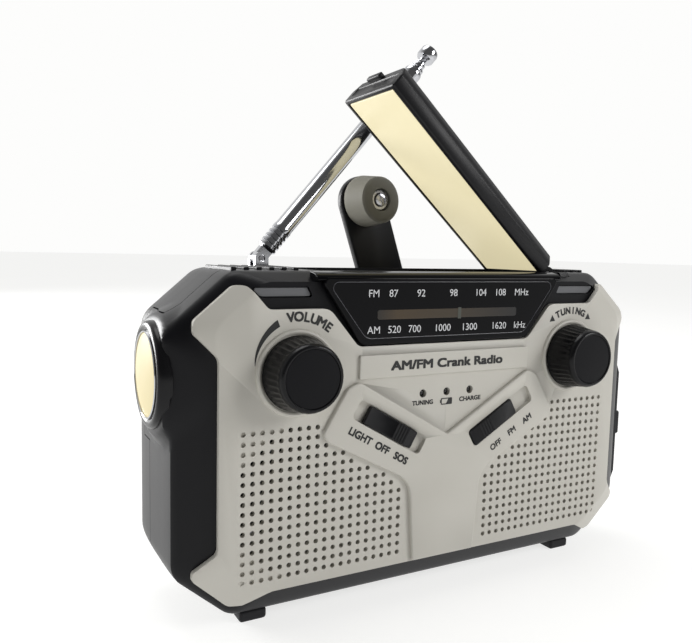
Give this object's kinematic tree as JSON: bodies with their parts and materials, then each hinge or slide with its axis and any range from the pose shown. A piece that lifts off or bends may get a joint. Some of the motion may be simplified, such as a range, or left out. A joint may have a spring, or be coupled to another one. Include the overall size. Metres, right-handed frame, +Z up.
{
  "type": "emergency radio",
  "caption": "Hand-crank emergency radio with dial, speaker, slide switches, side flashlight, hinged solar reading lamp, telescopic antenna and charging-port cover.",
  "frame": {"origin": "under the middle of the object's box, at the level that its feet stand on", "axes": "+Z up, +Y from the front panel to the back, +X to the right seen from the front"},
  "size_m": [0.1606, 0.0706, 0.1637],
  "materials": {
    "black_abs": "satin black moulded ABS",
    "grey_abs": "warm light grey satin ABS with printed marks",
    "black_plastic": "semi-gloss black plastic",
    "gloss_black": "gloss black acrylic",
    "black_card": "matt printed card",
    "amber": "translucent amber acrylic",
    "red_plastic": "red pointer plastic",
    "steel": "plain steel",
    "chrome": "polished chrome",
    "led_epoxy": "tinted LED epoxy",
    "laminate": "green circuit board laminate",
    "capacitor_film": "clear capacitor housing",
    "paper": "black paper cone",
    "ferrite": "ferrite magnet",
    "cell_wrap": "shrink-wrapped lithium cell",
    "rubber": "soft black rubber",
    "lens": "clear lens lit from behind",
    "reflector": "vacuum-metallised reflector",
    "led_board": "white LED board",
    "diffuser": "milky diffuser lit from behind",
    "solar": "solar cells under clear resin",
    "knob_rubber": "dark grey plastic grip",
    "acetal": "white acetal gears"
  },
  "bodies": {
    "radio": {"front_housing": "black_abs", "rear_housing": "black_abs", "lamp_tray": "black_abs", "flashlight_bezel": "black_abs", "front_panel": "grey_abs", "dial_window": "gloss_black", "dial_scale": "black_card", "dial_light_guide": "amber", "volume_control": "steel", "usb_socket": "steel", "low_left_screw": "steel", "low_right_screw": "steel", "top_left_screw": "steel", "top_right_screw": "steel", "lamp_hinge_pin": "steel", "dynamo_body": "steel", "speaker_frame": "steel", "tuning_capacitor": "capacitor_film", "switch_board": "laminate", "main_board": "laminate", "tuning_led": "led_epoxy", "battery_led": "led_epoxy", "charge_led": "led_epoxy", "speaker_cone": "paper", "speaker_magnet": "ferrite", "battery_cell": "cell_wrap", "front_left_foot": "rubber", "front_right_foot": "rubber", "rear_left_foot": "rubber", "rear_right_foot": "rubber", "flashlight_lens": "lens", "flashlight_reflector": "reflector", "flashlight_led_board": "led_board"},
    "pointer": {"dial_pointer": "red_plastic"},
    "volume": {"volume_knob": "black_plastic", "volume_shaft": "steel"},
    "tuning": {"tuning_knob": "black_plastic", "tuning_shaft": "steel"},
    "light_slider": {"light_switch": "black_plastic"},
    "band_slider": {"band_switch": "black_plastic"},
    "lamp_bar": {"lamp_cover": "black_abs", "lamp_diffuser": "diffuser", "lamp_led_strip": "led_board", "solar_panel": "solar"},
    "antenna_swivel_base": {"antenna_base": "chrome", "antenna_pin": "steel"},
    "antenna_mast": {"antenna_tube_1": "chrome"},
    "antenna_section_2": {"antenna_tube_2": "chrome"},
    "antenna_section_3": {"antenna_tube_3": "chrome"},
    "antenna_tip": {"antenna_rod": "chrome"},
    "crank": {"crank_hub": "black_abs", "crank_gear": "acetal", "crank_fold_pin": "steel"},
    "folding_arm": {"crank_arm": "black_abs", "crank_knob_screw": "steel"},
    "crank_grip": {"crank_knob": "knob_rubber"},
    "idler": {"idler_gear": "acetal"},
    "dynamo_rotor": {"dynamo_pinion": "acetal"},
    "port_flap": {"port_cover": "rubber"},
    "battery_hatch": {"battery_door": "black_abs"}
  },
  "joints": [
    {"name": "volume_turn", "type": "hinge", "parent": "radio", "child": "volume", "pos_m": [-0.046, -0.02585, 0.0662], "axis": [0, 1, 0], "range_deg": [-140, 140]},
    {"name": "tuning_turn", "type": "hinge", "parent": "radio", "child": "tuning", "pos_m": [0.046, -0.02585, 0.0662], "axis": [0, 1, 0], "range_deg": [-171.4, 128.6]},
    {"name": "pointer_travel", "type": "slide", "parent": "radio", "child": "pointer", "axis": [1, 0, 0], "range_m": [-0.0241, 0.0181]},
    {"name": "light_switch_slide", "type": "slide", "parent": "radio", "child": "light_slider", "axis": [0.866, 0, -0.5], "range_m": [-0.0034, 0.0034]},
    {"name": "band_switch_slide", "type": "slide", "parent": "radio", "child": "band_slider", "axis": [0.866, 0, 0.5], "range_m": [0, 0.0068]},
    {"name": "lamp_hinge", "type": "hinge", "parent": "radio", "child": "lamp_bar", "pos_m": [0.0439, -0.00605, 0.0905], "axis": [0, 1, 0], "range_deg": [-41.56, 48.4]},
    {"name": "antenna_swivel", "type": "hinge", "parent": "radio", "child": "antenna_swivel_base", "pos_m": [-0.0409, 0.01375, 0.0909], "axis": [0, 0, 1], "range_deg": [0, 180]},
    {"name": "antenna_tilt", "type": "hinge", "parent": "antenna_swivel_base", "child": "antenna_mast", "pos_m": [-0.0409, 0.01375, 0.094], "axis": [0, -1, 0], "range_deg": [-48.9, 41.1]},
    {"name": "antenna_slide_2", "type": "slide", "parent": "antenna_mast", "child": "antenna_section_2", "axis": [0.6574, 0, 0.7536], "range_m": [0, 0.058]},
    {"name": "antenna_slide_3", "type": "slide", "parent": "antenna_section_2", "child": "antenna_section_3", "axis": [0.6574, 0, 0.7536], "range_m": [0, 0.058]},
    {"name": "antenna_slide_4", "type": "slide", "parent": "antenna_section_3", "child": "antenna_tip", "axis": [0.6574, 0, 0.7536], "range_m": [0, 0.058]},
    {"name": "crank_turn", "type": "hinge", "parent": "radio", "child": "crank", "pos_m": [0.0209, 0.01765, 0.0644], "axis": [0, 1, 0], "continuous": true},
    {"name": "crank_fold", "type": "hinge", "parent": "crank", "child": "folding_arm", "pos_m": [0.0209, 0.03215, 0.0644], "axis": [-0.9466, 0, -0.3223], "range_deg": [0, 180]},
    {"name": "crank_knob_spin", "type": "hinge", "parent": "folding_arm", "child": "crank_grip", "pos_m": [0.00414, 0.03215, 0.11363], "axis": [0, 1, 0], "continuous": true},
    {"name": "idler_spin", "type": "hinge", "parent": "radio", "child": "idler", "pos_m": [0.02711, 0.01015, 0.04122], "axis": [0, 1, 0], "continuous": true},
    {"name": "dynamo_spin", "type": "hinge", "parent": "radio", "child": "dynamo_rotor", "pos_m": [0.04511, 0.00515, 0.04122], "axis": [0, 1, 0], "continuous": true},
    {"name": "port_cover_hinge", "type": "hinge", "parent": "radio", "child": "port_flap", "pos_m": [0.0774, 0.00415, 0.0405], "axis": [0, 0, 1], "range_deg": [0, 110]},
    {"name": "battery_door_lift", "type": "slide", "parent": "radio", "child": "battery_hatch", "axis": [0, 1, 0], "range_m": [0, 0.015]}
  ],
  "couplings": [
    {"joint": "pointer_travel", "follows": "tuning_turn", "m_per_rad": 0.0080214},
    {"joint": "idler_spin", "follows": "crank_turn", "ratio": -4},
    {"joint": "dynamo_spin", "follows": "crank_turn", "ratio": 16}
  ]
}
